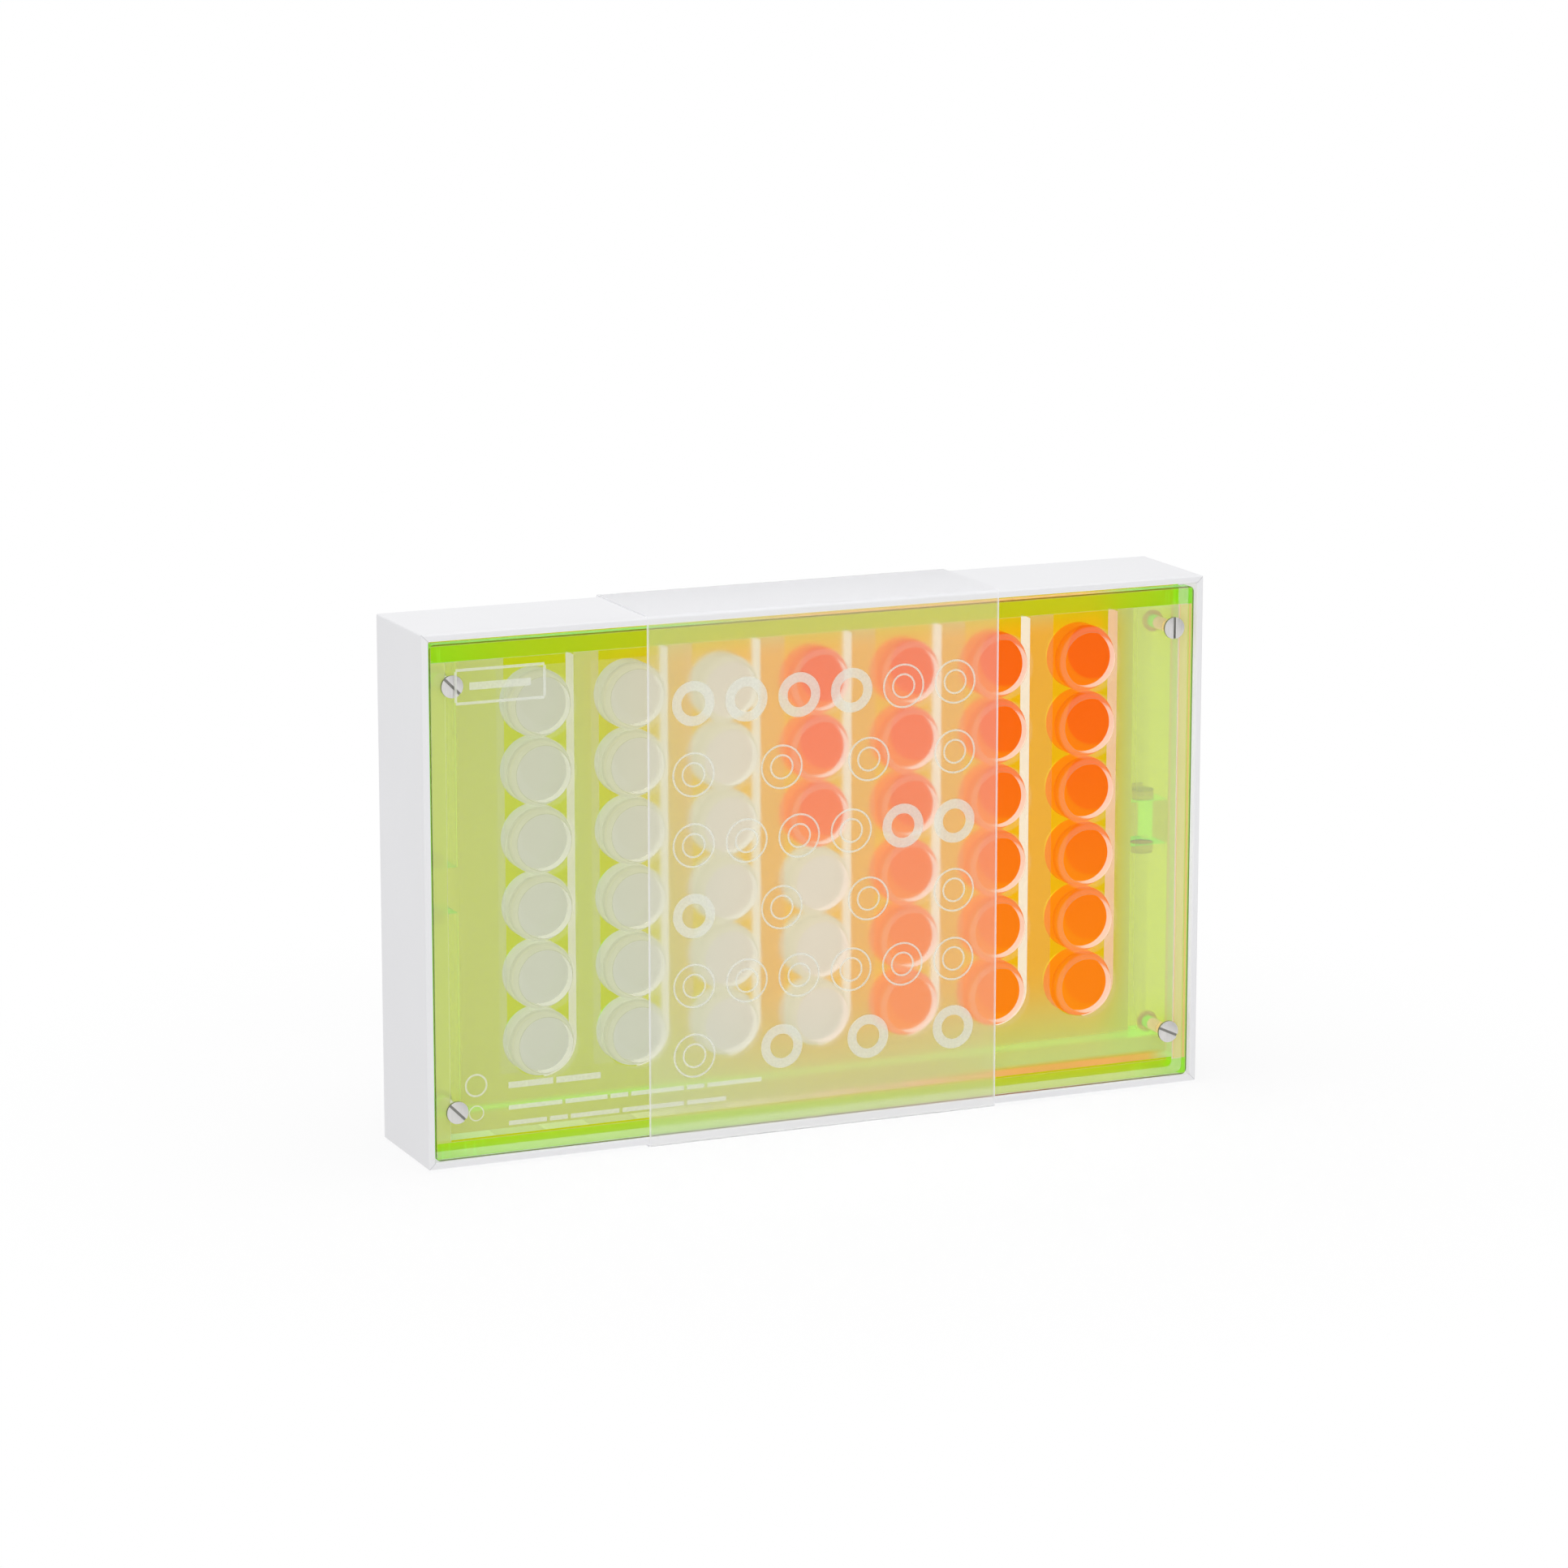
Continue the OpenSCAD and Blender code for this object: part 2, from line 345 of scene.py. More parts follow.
def hole_looks(graph, front, wall):
    """The sight holes' colours, and the haze of their lit walls, front rims and halos."""
    right, up, inside = in_cell(graph)
    place = along_board(graph)
    radius = graph.math("SQRT", right * right + up * up)
    rim = graph.line((radius - HOLE_R).absolute(), 0.05 * MM, 0.38 * MM) * inside * front
    hole_glow = graph.ramp(place, [
        (0.0, srgb(238, 241, 230)), (0.4, srgb(242, 238, 224)), (0.55, srgb(252, 226, 208)),
        (1.0, srgb(250, 218, 196))])
    # the front rims show as lines: painted shade, grey-green, over white discs, and painted light,
    # pale, over orange ones
    line_colour = graph.ramp(place, [
        (0.0, srgb(170, 178, 146)), (0.42, srgb(186, 182, 148)), (0.52, srgb(252, 190, 140)),
        (1.0, srgb(252, 186, 136))])
    # the walls catch light at their lower right, and are clear at their upper left
    lit = graph.smooth((right * 0.86 - up * 0.5) / HOLE_R, -0.15, 0.55) * wall * inside
    lit = lit * (graph.smooth(place, 0.3, 0.6) * 0.4 + 0.6)
    # round each hole the disc's rim shows paler through the sheet
    halo = graph.smooth(radius, HOLE_R - 0.1 * MM, HOLE_R + 0.1 * MM) * graph.line(
        radius, HOLE_R + 1.9 * MM, HOLE_R + 3.2 * MM) * inside * front
    haze = (lit * 0.78).highest(rim * 0.4).highest(halo * 0.11)
    return graph.mix(rim, hole_glow, line_colour), haze


def band_looks(graph, front):
    """The bands along the board's top and bottom, where it is thinner and the neon undimmed."""
    x, _, z = graph.xyz("Object")
    place = along_board(graph)
    top = graph.smooth(z, spacer_high.z + 0.6 * MM, spacer_high.z + 1.1 * MM) * front
    low = graph.line(z, spacer_low.z + 0.4 * MM, spacer_low.z + 0.9 * MM) * front
    streaks = graph.smooth(graph.noise(60, 2.0, 0.5, stretch=(9, 9, 0.8)), 0.55, 0.75)
    corner = graph.smooth(x.absolute(), panel_high.x - 34 * MM, panel_high.x - 8 * MM)
    top_colour = graph.ramp(place, [
        (0.0, srgb(124, 224, 4)), (0.12, srgb(160, 204, 2)), (0.3, srgb(176, 196, 2)),
        (0.6, srgb(190, 200, 0)), (0.86, srgb(186, 200, 0)), (1.0, srgb(130, 224, 8))])
    low_colour = graph.ramp(place, [
        (0.0, srgb(150, 228, 28)), (0.35, srgb(170, 216, 60)), (0.7, srgb(186, 206, 60)),
        (0.9, srgb(182, 212, 30)), (1.0, srgb(150, 226, 20))])
    colour = graph.mix(top, low_colour, top_colour)
    colour = graph.mix(streaks * corner * 0.6, colour, srgb(150, 255, 60))
    return colour, top.highest(low)


def end_looks(graph, front):
    """The strips past the ends of the comb: yellow-green, with peach lines of painted light at the
    right.
    """
    place = along_board(graph)
    past_comb = graph.xyz("Object")[0].absolute() - spacer_high.x
    strip = graph.smooth(past_comb, -3.6 * MM, -3.1 * MM) * front
    # painted light: the peach lines are edges lit by the orange discs
    outer_line = graph.line((past_comb - 1.9 * MM).absolute(), 0.25 * MM, 0.6 * MM)
    inner_line = graph.line((past_comb + 3.2 * MM).absolute(), 0.15 * MM, 0.45 * MM)
    peach = outer_line.highest(inner_line * 0.6) * graph.smooth(place, 0.5, 0.6)
    green = graph.ramp(place, [(0.0, srgb(194, 208, 118)), (1.0, srgb(214, 208, 112))])
    return graph.mix(peach, green, srgb(250, 178, 132)), strip


def front_panel_material():
    """The front panel: nearly clear, with green outer edges and pale glowing hole walls."""
    graph = Graph("front_panel")
    x, y, z = graph.xyz("Object")
    place = along_board(graph)
    wall = graph.xyz("Normal")[1].absolute().below(0.5)
    front = y.below(panel_low.y + 0.4 * MM) * (1.0 - wall)
    from_edge = (panel_high.x - x.absolute()).lowest(
        (z - panel_low.z).lowest(panel_high.z - z))
    outside = wall * from_edge.below(3 * MM)
    lit_edge = graph.mix(
        graph.smooth(place, 0.3, 0.5) * (1.0 - graph.smooth(place, 0.84, 0.93)),
        srgb(120, 226, 6), srgb(252, 182, 6))
    # painted shade: a dark hairline where the front face meets the outer edge
    arris = graph.line(from_edge, 0.45 * MM, 0.95 * MM) * front
    arris_shade = graph.ramp(place, [
        (0.0, srgb(84, 116, 6)), (0.5, srgb(110, 100, 10)), (0.75, srgb(140, 84, 30)),
        (1.0, srgb(90, 112, 12))])
    holes, hole_haze = hole_looks(graph, front, wall)
    bands, in_band = band_looks(graph, front)
    ends, at_end = end_looks(graph, front)
    in_band = in_band * (1.0 - arris)
    at_end = at_end * (1.0 - in_band) * (1.0 - arris)
    body = graph.mix(outside, holes, lit_edge)
    body = graph.mix(arris, body, arris_shade)
    body = graph.mix(in_band, body, bands)
    body = graph.mix(at_end, body, ends)
    haze = hole_haze.highest(outside * 0.85).highest(in_band * 0.62).highest(arris * 0.8)
    haze = haze.highest(at_end * 0.72)
    return lets_light_in(graph, graph.blend(
        haze, graph.clear((0.985, 0.992, 0.90, 1)), glowing(graph, body, 0.12)))


def spacer_material():
    """The comb: a milky sheet whose right-hand slot walls catch the light."""
    graph = Graph("spacer")
    x, y, z = graph.xyz("Object")
    right = in_cell(graph)[0]
    place = along_board(graph)
    face = graph.xyz("Normal")[1].absolute().above(0.5)
    wall = 1.0 - face
    face = face * y.below(spacer_low.y + 1 * MM)
    end = wall * x.absolute().above(spacer_high.x - 1 * MM)
    ledge = wall * (z - spacer_low.z).absolute().below(1 * MM)
    lit_wall = (wall * right.above(1 * MM) * z.below(spacer_high.z - 1 * MM)).highest(end)
    milk = graph.mix(orange_light(graph), srgb(218, 218, 236), srgb(255, 170, 122))
    strip = graph.ramp(place, [
        (0.0, srgb(214, 216, 214)), (0.45, srgb(244, 238, 236)), (0.62, srgb(255, 236, 234)),
        (0.8, srgb(255, 246, 252)), (0.9, srgb(248, 200, 184)), (1.0, srgb(244, 190, 150))])
    body = graph.mix(lit_wall, milk, strip)
    body = graph.mix(ledge, body, graph.ramp(place, [
        (0.0, srgb(196, 246, 150)), (0.45, srgb(226, 214, 150)), (0.65, srgb(250, 178, 104)),
        (0.93, srgb(248, 180, 110)), (1.0, srgb(200, 250, 120))]))
    # the left-hand edge of each slot shows as a hairline
    slot_edge = graph.line((right + SLOT_HALF).absolute(), 0.15 * MM, 0.5 * MM) * face
    # below the slots at the right the sheet glows pale green, over a peach band at its foot
    near_right = graph.smooth(place, 0.6, 0.78)
    from_foot = z - spacer_low.z
    pale = graph.line(from_foot, 4 * MM, 40 * MM) * near_right * face
    peach = graph.line(from_foot, 2.6 * MM, 5 * MM) * near_right * face * (
        1.0 - graph.smooth(place, 0.95, 0.98))
    body = graph.mix(pale, body, srgb(212, 236, 206))
    body = graph.mix(peach, body, srgb(252, 176, 120))
    clearer = face * (graph.smooth(place, 0.9, 0.95) * 0.05 + 0.275)
    haze = clearer.highest(lit_wall * (0.86 - end * 0.46)).highest(ledge * 0.6)
    haze = haze.highest(slot_edge * 0.26).highest(pale * 0.4).highest(peach * 0.5)
    tint = graph.mix(face, (0.96, 0.97, 0.90, 1), (0.99, 0.99, 0.97, 1))
    return lets_light_in(graph, graph.blend(
        haze, graph.clear(tint), glowing(graph, body, 0.08, 0.2)))


def foot_material(name, low, high, glow):
    """A stored foot: green acrylic with bright arrises of painted highlight, end faces with a
    painted glow, and grey recess walls with lines of painted shade.
    """
    graph = Graph(name)
    x, y, z = graph.xyz("Object")
    nx, _, nz = graph.xyz("Normal")
    side = nx.absolute().above(0.5)
    end = nz.absolute().above(0.5)
    from_side = (x - low.x).lowest(high.x - x)
    front = y.below(low.y + 0.5 * MM)
    line = graph.line(from_side, 0.4 * MM, 0.9 * MM) * front
    middle = (low.z + high.z) / 2
    reach = (z - middle).absolute()
    # the recesses open into the notch: their walls are curved and lie well inside the foot
    recess = from_side.above(3.2 * MM) * reach.above(NOTCH_HALF + 0.2 * MM) * reach.below(
        NOTCH_HALF + 4.7 * MM) * (y - low.y).above(0.6 * MM)
    # painted glow: the bar's end faces show a deeper green, of light piped along it
    body = graph.mix(end, srgb(240, 250, 150), srgb(140, 236, 50))
    # painted highlights: bright lines along the front arrises
    body = graph.mix(line, body, srgb(232, 255, 200))
    body = graph.mix(recess, body, srgb(168, 148, 132))
    # painted shade: the recess's floor and mouth show as dark hairlines
    ring = recess * graph.smooth((reach - NOTCH_HALF - 2.4 * MM).absolute(), 1.6 * MM, 2.1 * MM)
    body = graph.mix(ring * 0.8, body, srgb(44, 50, 24))
    # the neck beside the notch gathers light from the whole bar
    neck = reach.below(NOTCH_HALF) * (1.0 - end)
    body = graph.mix(neck, body, srgb(186, 255, 60))
    haze = (side * 0.3).highest(neck * 0.45).highest(end * 0.75)
    haze = haze.highest(line * 0.8).highest(recess * 0.85)
    # fine lines run along the bar, as polishing leaves them
    streaks = graph.smooth(graph.noise(700, 2.0, 0.6, stretch=(1, 1, 0.004)), 0.42, 0.72)
    haze = haze.highest(front * (streaks * 0.2 + 0.26))
    return lets_light_in(graph, graph.blend(
        haze, graph.clear((0.975, 0.99, 0.88, 1)), glowing(graph, body, glow)))


def disc_material(name, faces, rim, solid, glow, bow_share, warm=None):
    """A disc of tinted acrylic: a softly lit face, lower discs painted lighter, and a clearer rim.
    """
    graph = Graph(name)
    gx, _, gz = graph.xyz("Generated")

    def from_point(x, z):
        """How far a point is from one in the face, where the disc's radius is 1."""
        return graph.math("SQRT", (gx - x) * (gx - x) + (gz - z) * (gz - z)) * 2
    radius = from_point(0.5, 0.5)
    outer = graph.smooth(radius, 0.86, 1.0)
    # the far edge of the disc shows as a soft paler bow in its face
    bow = graph.smooth(from_point(0.66, 0.62), 0.86, 0.93)
    side = graph.xyz("Normal")[1].absolute().below(0.6)
    # painted light: the lower discs are lighter than the upper ones
    height = graph.smooth(graph.xyz("Object")[2], first_disc.z - PITCH_Z / 2, last_disc.z)
    face = graph.mix(height, srgb(*faces[0]), srgb(*faces[1]))
    colour = graph.mix(bow * bow_share, face, srgb(*rim))
    colour = graph.mix(side.highest(outer * 0.5), colour, srgb(*rim))
    if warm:
        colour = graph.mix(orange_light(graph) * 0.5, colour, srgb(*warm))
    share = (side * (solid * 0.75)).highest((1.0 - side) * (1.0 - outer * 0.35) * solid)
    return lets_light_in(graph, graph.blend(
        share, graph.clear(srgb(*rim)), glowing(graph, colour, glow, 0.15, 0.04)))


def cover_material():
    """The clear sheet over the board: all gloss and almost no colour."""
    graph = Graph("clear_cover")
    sheen = graph.principled(Base_Color=srgb(235, 238, 230), Roughness=0.08,
                             Specular_IOR_Level=0.5)
    return lets_light_in(graph, graph.blend(0.004, graph.clear((0.997, 0.997, 0.99, 1)), sheen))


def sleeve_material():
    """Frosted sheet: it blurs what is behind it and veils it in white."""
    graph = Graph("frosted_sheet")
    x, _, z = graph.xyz("Object")
    grain = graph.noise(1800, 3.0)
    cut_edge = x.absolute().above(sleeve_high.x - SHEET - 0.1 * MM)
    # where the film lies close on the card over the tray, the two look equally white
    on_card = graph.smooth(z, sleeve_high.z - 2 * MM, sleeve_high.z - 0.5 * MM)
    sheet = graph.principled(Base_Color=srgb(253, 253, 252), Roughness=0.32, IOR=1.25,
                             Transmission_Weight=0.945)
    veil = graph.principled(Base_Color=srgb(245, 245, 248), Roughness=0.5, Specular_IOR_Level=0.2)
    haze = graph.smooth(grain, 0.3, 0.7) * 0.02
    return lets_light_in(graph, graph.blend(
        haze.highest(cut_edge * 0.35).highest(on_card * 0.5), sheet, veil))


def print_material(name, share, colour=(242, 244, 234)):
    """White screen print with a little of what is behind it showing through."""
    graph = Graph(name)
    ink = graph.principled(Base_Color=srgb(*colour), Roughness=0.5, Specular_IOR_Level=0.2)
    speckle = graph.smooth(graph.noise(900, 2.0), 0.25, 0.8) * 0.06
    return graph.finish(graph.blend(speckle + share, graph.clear((1, 1, 1, 1)), ink))


def steel_material():
    """Turned steel with fine grain and a soft shine, with painted shade down in the screw slots.
    """
    graph = Graph("screw_steel")
    y = graph.xyz("Object")[1]
    grain = graph.noise(2500, 3.0, 0.6, stretch=(1, 1, 0.06))
    shade = graph.mix(grain, srgb(192, 190, 190), srgb(240, 238, 238))
    # painted shade darkens the steel down in the screw slots
    slot_shade = graph.smooth(y, screw_low.y + 0.12 * MM, screw_low.y + 0.4 * MM)
    slot_shade = slot_shade * y.below(panel_low.y)
    shade = graph.mix(slot_shade * 0.75, shade, srgb(92, 92, 84))
    return graph.finish(graph.principled(
        Base_Color=shade, Metallic=0.8, Roughness=graph.smooth(grain, 0.2, 0.8) * 0.12 + 0.3,
        Normal=graph.bump(grain, 0.00002, 0.3)))


def post_material():
    """The tapped barrels: steel that takes the colours of the acrylic round it as painted
    reflections, with a painted glow.
    """
    graph = Graph("post_steel")
    grain = graph.noise(2500, 3.0, 0.6, stretch=(1, 0.06, 1))
    # painted reflection: green at the board's left end, peach at its right
    shade = graph.ramp(along_board(graph), [
        (0.0, srgb(190, 204, 150)), (0.5, srgb(220, 206, 150)), (1.0, srgb(240, 200, 150))])
    shade = graph.mix(grain * 0.4, shade, srgb(150, 150, 130))
    return graph.finish(graph.principled(
        Base_Color=shade, Metallic=0.25, Roughness=0.3, Emission_Color=shade,
        Emission_Strength=0.3, Normal=graph.bump(grain, 0.00002, 0.3)))


tray_card = card_material("tray_card", (244, 244, 246), rim=True)
# the insert card carries a painted glow, so that it reads evenly bright through the tinted sheets
insert_card = card_material("insert_card", (206, 206, 204), glow=0.42)
neon_panel = neon_material()
front_acrylic = front_panel_material()
spacer_acrylic = spacer_material()
# the right foot carries a stronger painted glow than the left one
left_foot = foot_material("left_foot", *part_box("foot_left"), 0.32)
right_foot = foot_material("right_foot", *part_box("foot_right"), 0.75)
white_disc = disc_material("disc_white", ((209, 212, 192), (208, 210, 187)), (224, 227, 216),
                           0.84, 0.08, 0.1, warm=(255, 226, 200))
orange_disc = disc_material("disc_orange", ((250, 130, 0), (248, 101, 0)), (255, 150, 0),
                            0.97, 0.15, 0.45)
clear_sheet = cover_material()
frosted_sheet = sleeve_material()
solid_print = print_material("solid_print", 0.4)
line_print = print_material("line_print", 0.42)
seam_film = print_material("seam_film", 0.5, (250, 250, 252))
small_print = print_material("small_print", 0.34)
steel = steel_material()
post_steel = post_material()


# ---------------------------------------------------------------- geometry helpers
def shape(name, mesh_maker, material, body, smooth=False):
    """Makes one piece from a function that fills a bmesh, and lets it ride on a body."""
    made = bmesh.new()
    mesh_maker(made)
    bmesh.ops.recalc_face_normals(made, faces=made.faces)
    mesh = bpy.data.meshes.new(name)
    made.to_mesh(mesh)
    made.free()
    piece = bpy.data.objects.new(name, mesh)
    scene.collection.objects.link(piece)
    mesh.materials.append(material)
    for face in mesh.polygons:
        face.use_smooth = smooth
    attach(piece, body)
    return piece


def apply_modifiers(piece):
    """Bakes the modifiers of a piece into its mesh."""
    bpy.context.view_layer.update()
    shown = piece.evaluated_get(bpy.context.evaluated_depsgraph_get())
    mesh = bpy.data.meshes.new_from_object(shown)
    piece.modifiers.clear()
    piece.data = mesh


def bevelled(piece, width, segments=3, angle=40):
    """Rounds the sharp edges of a piece, and shades it smooth with flat faces kept flat."""
    bevel = piece.modifiers.new("bevel", "BEVEL")
    bevel.width, bevel.segments = width, segments
    bevel.limit_method, bevel.angle_limit = "ANGLE", math.radians(angle)
    bevel.harden_normals = True
    for face in piece.data.polygons:
        face.use_smooth = True
    apply_modifiers(piece)


def draw_in(made, amount):
    """Draws a surface in by a hair, so that no two clear faces lie in one plane."""
    made.normal_update()
    inward = [(vertex, vertex.normal * -amount) for vertex in made.verts]
    for vertex, move in inward:
        vertex.co += move


def softened(node, material, body, width, segments=2, gap=0.0):
    """A copy of a CAD node with rounded edges, which stands for the node."""
    source = nodes[node].data

    def fill(made):
        made.from_mesh(source)
        bmesh.ops.remove_doubles(made, verts=made.verts, dist=0.001 * MM)
        bmesh.ops.dissolve_limit(made, angle_limit=math.radians(0.5), verts=made.verts,
                                 edges=made.edges)
        bmesh.ops.recalc_face_normals(made, faces=made.faces)
        draw_in(made, gap)
    piece = shape(node + "_soft", fill, material, body)
    bevelled(piece, width, segments)
    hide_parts(node)


def paint(name, material):
    """Gives a CAD node its material."""
    slots = nodes[name].data.materials
    slots.clear()
    slots.append(material)


def rebuilt(node, material, body, gap=0.0):
    """A copy of a CAD node as one welded surface with crisp edges, which stands for the node."""
    source = nodes[node].data

    def fill(made):
        raw = bmesh.new()
        raw.from_mesh(source)
        bmesh.ops.remove_doubles(raw, verts=raw.verts, dist=0.001 * MM)
        copies = {vertex: made.verts.new(vertex.co) for vertex in raw.verts}
        for face in raw.faces:
            made.faces.new([copies[vertex] for vertex in face.verts])
        raw.free()
        bmesh.ops.recalc_face_normals(made, faces=made.faces)
        draw_in(made, gap)
    piece = shape(node + "_piece", fill, material, body, smooth=True)
    piece.data.set_sharp_from_angle(angle=math.radians(30))
    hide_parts(node)


# ---------------------------------------------------------------- discs
DISC_STEPS = 96
DISC_ARRIS = 0.5 * MM


def disc_piece(node, material, body):
    """A turned disc with rounded arrises."""
    low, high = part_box(node)
    centre = (low + high) / 2
    radius = (high.x - low.x) / 2
    half = (high.y - low.y) / 2
    profile = []                       # (radius, depth) from the front face round to the back
    for step in range(5):
        angle = math.radians(90 * step / 4)
        profile.append((radius - DISC_ARRIS + DISC_ARRIS * math.sin(angle),
                        half - DISC_ARRIS + DISC_ARRIS * math.cos(angle)))
    profile = [(r, -y) for r, y in profile] + [(r, y) for r, y in reversed(profile)]

    def fill(made):
        rings = [[made.verts.new((centre.x + r * math.cos(2 * math.pi * i / DISC_STEPS),
                                  centre.y + y,
                                  centre.z + r * math.sin(2 * math.pi * i / DISC_STEPS)))
                  for i in range(DISC_STEPS)] for r, y in profile]
        for first, second in zip(rings, rings[1:]):
            for i in range(DISC_STEPS):
                j = (i + 1) % DISC_STEPS
                made.faces.new((first[i], first[j], second[j], second[i]))
        made.faces.new(rings[0])
        made.faces.new(rings[-1])
    piece = shape(node + "_piece", fill, material, body, smooth=True)
    piece.data.set_sharp_from_angle(angle=math.radians(30))
    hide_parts(node)


# ---------------------------------------------------------------- tray
def tray_shell():
    """An open box of wrapped card, with soft folded edges."""
    low, high = tray_low, tray_high

    def fill(made):
        def ring(inset, y):
            """A rectangle this far inside the tray's outline."""
            x0, x1, z0, z1 = low.x + inset, high.x - inset, low.z + inset, high.z - inset
            return [made.verts.new((x, y, z)) for x, z in ((x0, z0), (x1, z0), (x1, z1), (x0, z1))]
        back = ring(0, high.y)
        rim = ring(0, low.y)
        mouth = ring(CARD, low.y)
        floor = ring(CARD, high.y - CARD)
        made.faces.new(back)
        made.faces.new(floor)
        for first, second in ((back, rim), (rim, mouth), (mouth, floor)):
            for i in range(4):
                j = (i + 1) % 4
                made.faces.new((first[i], first[j], second[j], second[i]))
    piece = shape("tray_shell", fill, tray_card, "root")
    bevelled(piece, 0.8 * MM, 4)
    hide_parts("tray")


# ---------------------------------------------------------------- sleeve
PRINT_ROOM = 0.08 * MM            # the sheet's front stands this far back for its print


def sleeve_sheet():
    """A folded tube of frosted sheet."""
    fold = 1.6 * MM
    steps = 6
    front_y = sleeve_low.y + PRINT_ROOM
    middle_y = (front_y + sleeve_high.y) / 2
    middle_z = (sleeve_low.z + sleeve_high.z) / 2

    def outline(inset):
        """The (Y, Z) points round the sleeve, with round folds, inset from its outside."""
        half_y = (sleeve_high.y - front_y) / 2 - inset
        half_z = (sleeve_high.z - sleeve_low.z) / 2 - inset
        radius = fold - inset
        points = []
        for corner, (sy, sz) in enumerate(((1, 1), (-1, 1), (-1, -1), (1, -1))):
            for step in range(steps + 1):
                angle = math.radians(90 * corner + 90 * step / steps)
                points.append((middle_y + sy * (half_y - radius) + radius * math.cos(angle),
                               middle_z + sz * (half_z - radius) + radius * math.sin(angle)))
        return points

    def fill(made):
        rings = [[made.verts.new((x, y, z)) for y, z in outline(inset)]
                 for x, inset in ((sleeve_low.x, 0), (sleeve_high.x, 0),
                                  (sleeve_high.x, SHEET), (sleeve_low.x, SHEET))]
        count = len(rings[0])
        for k in range(4):
            first, second = rings[k], rings[(k + 1) % 4]
            for i in range(count):
                j = (i + 1) % count
                made.faces.new((first[i], first[j], second[j], second[i]))
    piece = shape("sleeve_sheet", fill, frosted_sheet, "sleeve")
    for face in piece.data.polygons:
        face.use_smooth = abs(face.normal.x) < 0.5
    piece.data.set_sharp_from_angle(angle=math.radians(40))
    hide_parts("sleeve")


def sleeve_seam():
    """The glued lap of the sheet, inside the sleeve's back, above its middle."""
    middle_z = (sleeve_low.z + sleeve_high.z) / 2 + 40 * MM
    half_lap = 6 * MM
    inset = 0.3 * MM
    inside_back = sleeve_high.y - SHEET - 0.08 * MM

    def fill(made):
        flat_bar(made, sleeve_low.x + inset, sleeve_high.x - inset, middle_z - half_lap,
                 middle_z + half_lap, inside_back, thick=0.22 * MM)
    shape("sleeve_seam", fill, seam_film, "sleeve")


def flat_ring(made, x, z, y, outer, inner, steps=96, thick=0.05 * MM):
    """A printed ring, or a disc when inner is 0, that faces the front and is a hair thick."""
    fronts = []
    for depth in (y - thick, y):
        circles = []
        for radius in ((outer, inner) if inner else (outer,)):
            circles.append([made.verts.new((x + radius * math.cos(2 * math.pi * i / steps), depth,
                                            z + radius * math.sin(2 * math.pi * i / steps)))
                            for i in range(steps)])
        fronts.append(circles)
    front, back = fronts
    for i in range(steps):
        j = (i + 1) % steps
        if inner:
            for circles in (front, back):
                made.faces.new((circles[0][i], circles[0][j], circles[1][j], circles[1][i]))
            made.faces.new((front[1][i], front[1][j], back[1][j], back[1][i]))
        made.faces.new((front[0][i], front[0][j], back[0][j], back[0][i]))
    if not inner:
        made.faces.new(front[0])
        made.faces.new(back[0])


def flat_bar(made, x0, x1, z0, z1, y, thick=0.05 * MM):
    """A printed bar that faces the front and is a hair thick."""
    corners = [[made.verts.new((x, depth, z)) for x, z in ((x0, z0), (x1, z0), (x1, z1), (x0, z1))]
               for depth in (y - thick, y)]
    made.faces.new(corners[0])
    made.faces.new(corners[1])
    for i in range(4):
        j = (i + 1) % 4
        made.faces.new((corners[0][i], corners[0][j], corners[1][j], corners[1][i]))


PRINT_ROW_PITCH = 30.4 * MM
PRINT_TOP = 38.4 * MM             # from the sleeve's top to the first row
PRINT_HALF_WIDTH = 60.5 * MM
COUNTER_R = 9.6 * MM
COUNTER_HOLE = 5.4 * MM
LINE = 0.8 * MM
# one letter for each printed counter: s is a solid one and o an outline
PRINT_ROWS = ["ssssoo", "oooo", "ooooss", "sooo", "oooooo", "osss"]


def sleeve_print(kind, name, material):
    """The rows of printed counters of one kind."""
    def fill(made):
        y = sleeve_low.y + PRINT_ROOM - 0.02 * MM
        for row, pattern in enumerate(PRINT_ROWS):
            z = sleeve_high.z - PRINT_TOP - row * PRINT_ROW_PITCH
            for i, letter in enumerate(pattern):
                if letter != kind:
                    continue
                x = -PRINT_HALF_WIDTH + 2 * PRINT_HALF_WIDTH * i / (len(pattern) - 1)
                if kind == "s":
                    flat_ring(made, x, z, y, COUNTER_R, COUNTER_HOLE)
                else:
                    flat_ring(made, x, z, y, COUNTER_R, COUNTER_R - LINE)
                    flat_ring(made, x, z, y, COUNTER_HOLE, COUNTER_HOLE - LINE)
    shape(name, fill, material, "sleeve")


# the cover's small print, in mm from its lower left corner
LABEL_FRAME = ((10.9, 49.9), (194, 208))
LABEL_BAR = ((16.9, 43.9), (199.4, 202.6))
LABEL_LINE = 0.6                  # half the width of the frame's line
DASH_START, DASH_GAP = 32.1, 1.4
# each row of dashes: its height from the bottom, how high it is, and how long its dashes are
DASH_ROWS = [
    (28.7, 2.688, (20, 20)),
    (19.4, 1.932, (24, 19, 8, 24, 8, 25)),
    (12.7, 1.932, (17, 8, 22, 28, 18)),
]
# each small ring: its middle, and its outer and inner radius
SMALL_RINGS = [((17.7, 31.5), 5, 4.2), ((17.7, 19.5), 3.4, 2.9)]


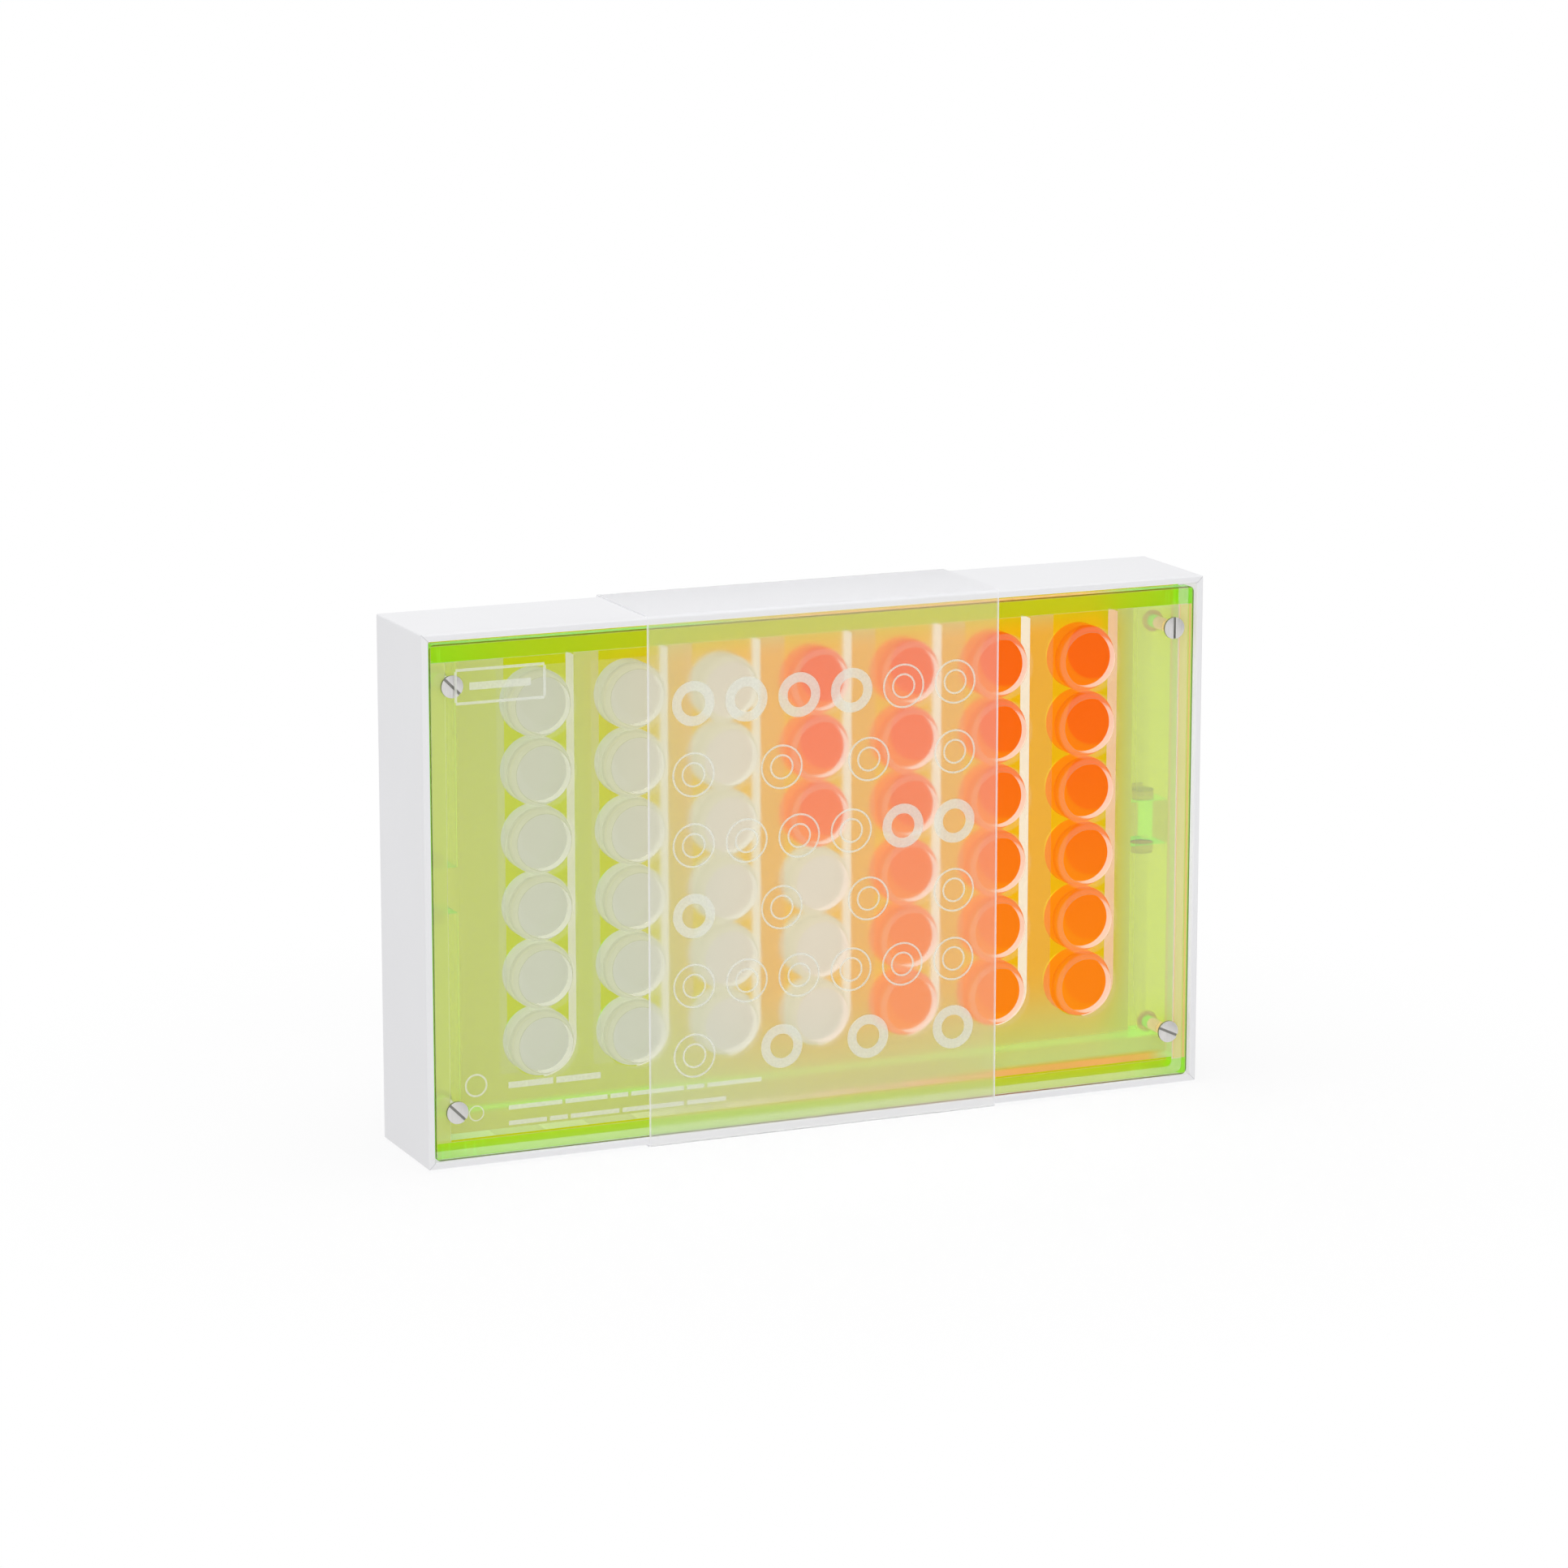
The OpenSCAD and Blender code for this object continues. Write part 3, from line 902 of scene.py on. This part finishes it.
def cover_print():
    """Plain bars, frames and rings where the clear cover carries small print."""
    y = cover_low.y - 0.02 * MM

    def fill(made):
        def bar(x0, x1, z0, z1):
            flat_bar(made, cover_low.x + x0 * MM, cover_low.x + x1 * MM,
                     cover_low.z + z0 * MM, cover_low.z + z1 * MM, y)
        (left, right), (foot, top) = LABEL_FRAME
        for z in (foot, top):
            bar(left, right, z - LABEL_LINE, z + LABEL_LINE)
        for x in (left, right):
            bar(x - LABEL_LINE, x + LABEL_LINE, foot + LABEL_LINE, top - LABEL_LINE)
        bar(*LABEL_BAR[0], *LABEL_BAR[1])
        for z, height, dashes in DASH_ROWS:
            x = DASH_START
            for dash in dashes:
                bar(x, x + dash, z, z + height)
                x += dash + DASH_GAP
        for (x, z), outer, inner in SMALL_RINGS:
            flat_ring(made, cover_low.x + x * MM, cover_low.z + z * MM, y, outer * MM, inner * MM)
    shape("cover_print", fill, small_print, "root")


# ---------------------------------------------------------------- build
tray_shell()
sleeve_sheet()
sleeve_seam()
sleeve_print("s", "sleeve_print_solid", solid_print)
sleeve_print("o", "sleeve_print_lines", line_print)
cover_print()
softened("binding_screws", steel, "root", 0.15 * MM)
softened("foot_left", left_foot, "root", 0.3 * MM, gap=0.08 * MM)
softened("foot_right", right_foot, "root", 0.3 * MM, gap=0.08 * MM)
rebuilt("insert", insert_card, "root")
rebuilt("clear_cover", clear_sheet, "root")
rebuilt("front_panel", front_acrylic, "root")
rebuilt("spacer", spacer_acrylic, "root", gap=0.06 * MM)
rebuilt("back_panel", neon_panel, "root")
paint("binding_posts", post_steel)
for member in frame["record"]["subparts"]:
    if member["node"].startswith("disc_"):
        column = member["node"][len("disc_c")]
        slot = member["material_slot"]
        disc_piece(member["node"], white_disc if slot == "disc_white" else orange_disc,
                   "discs_column_" + column)


# ---------------------------------------------------------------- studio
CAMERA_TARGET = Vector((-0.003, 0.008, 0.1437))
CAMERA_AZIMUTH, CAMERA_ELEVATION = -23.6, 12.05
CAMERA_DISTANCE = 2.31
CAMERA_LENS = 123.4
FLOOR_RADIUS = 30
FADE_START, FADE_END = 0.12, 0.42  # from the middle: between these the floor turns white
NEAR_WHITE = 0.75                 # how white the floor is before it fades
WORLD_LIGHT = 0.592               # how brightly the surroundings light the scene


def add_camera():
    """A long lens at the left of the object, a little above it."""
    data = bpy.data.cameras.new("camera")
    data.lens, data.sensor_width = CAMERA_LENS, 36
    data.clip_end = 50
    camera = bpy.data.objects.new("camera", data)
    scene.collection.objects.link(camera)
    azimuth, elevation = math.radians(CAMERA_AZIMUTH), math.radians(CAMERA_ELEVATION)
    back = Vector((math.sin(azimuth) * math.cos(elevation),
                   -math.cos(azimuth) * math.cos(elevation), math.sin(elevation)))
    camera.location = CAMERA_TARGET + back * CAMERA_DISTANCE
    camera.rotation_mode = "QUATERNION"
    camera.rotation_quaternion = (-back).to_track_quat("-Z", "Y")
    scene.camera = camera


def add_floor():
    """A pale floor that fades into the white surroundings away from the object."""
    graph = Graph("floor")
    x, y, _ = graph.xyz("Object")
    distance = graph.math("SQRT", x * x + y * y)
    away = graph.smooth(distance, FADE_START, FADE_END) * (1 - NEAR_WHITE) + NEAR_WHITE
    pale = graph.principled(Base_Color=srgb(252, 252, 252), Roughness=0.9, Specular_IOR_Level=0.0)
    light = graph.node("Emission", None, Color=(1, 1, 1, 1), Strength=1.0).outputs[0]
    material = graph.finish(graph.blend(away, pale, light))
    mesh = bpy.data.meshes.new("floor")
    made = bmesh.new()
    bmesh.ops.create_circle(made, cap_ends=True, segments=64, radius=FLOOR_RADIUS)
    made.to_mesh(mesh)
    made.free()
    floor = bpy.data.objects.new("floor", mesh)
    floor.location.z = cad_low.z - 0.05 * MM
    mesh.materials.append(material)
    scene.collection.objects.link(floor)


def add_area(name, place, aim, size, power):
    """A square soft light that faces a point."""
    data = bpy.data.lights.new(name, "AREA")
    data.shape, data.size, data.energy = "SQUARE", size, power
    light = bpy.data.objects.new(name, data)
    scene.collection.objects.link(light)
    light.location = place
    light.rotation_mode = "QUATERNION"
    light.rotation_quaternion = (aim - place).to_track_quat("-Z", "Y")


def add_world():
    """White surroundings, which light the scene less brightly than they look."""
    world = bpy.data.worlds.new("studio")
    world.use_nodes = True
    tree = world.node_tree
    tree.nodes.clear()
    path = tree.nodes.new("ShaderNodeLightPath")
    seen = tree.nodes.new("ShaderNodeMath")
    seen.operation = "MAXIMUM"
    for socket, ray in zip(seen.inputs, ("Is Camera Ray", "Is Transmission Ray")):
        tree.links.new(path.outputs[ray], socket)
    strength = tree.nodes.new("ShaderNodeMapRange")
    tree.links.new(seen.outputs[0], strength.inputs["Value"])
    strength.inputs["To Min"].default_value = WORLD_LIGHT
    strength.inputs["To Max"].default_value = 1.0
    background = tree.nodes.new("ShaderNodeBackground")
    background.inputs["Color"].default_value = (1, 1, 1, 1)
    tree.links.new(strength.outputs[0], background.inputs["Strength"])
    output = tree.nodes.new("ShaderNodeOutputWorld")
    tree.links.new(background.outputs[0], output.inputs["Surface"])
    scene.world = world


add_camera()
add_floor()
add_world()
middle = (cad_low + cad_high) / 2
add_area("overhead", middle + Vector((-0.1, -0.1, 1.6)), middle, 1.2, 11)
add_area("front_left", middle + Vector((-1.0, -1.9, 0.8)), middle, 1.6, 4)

scene.view_settings.view_transform = "Standard"
scene.cycles.transparent_max_bounces = 48
scene.cycles.transmission_bounces = 12
scene.cycles.use_denoising = True
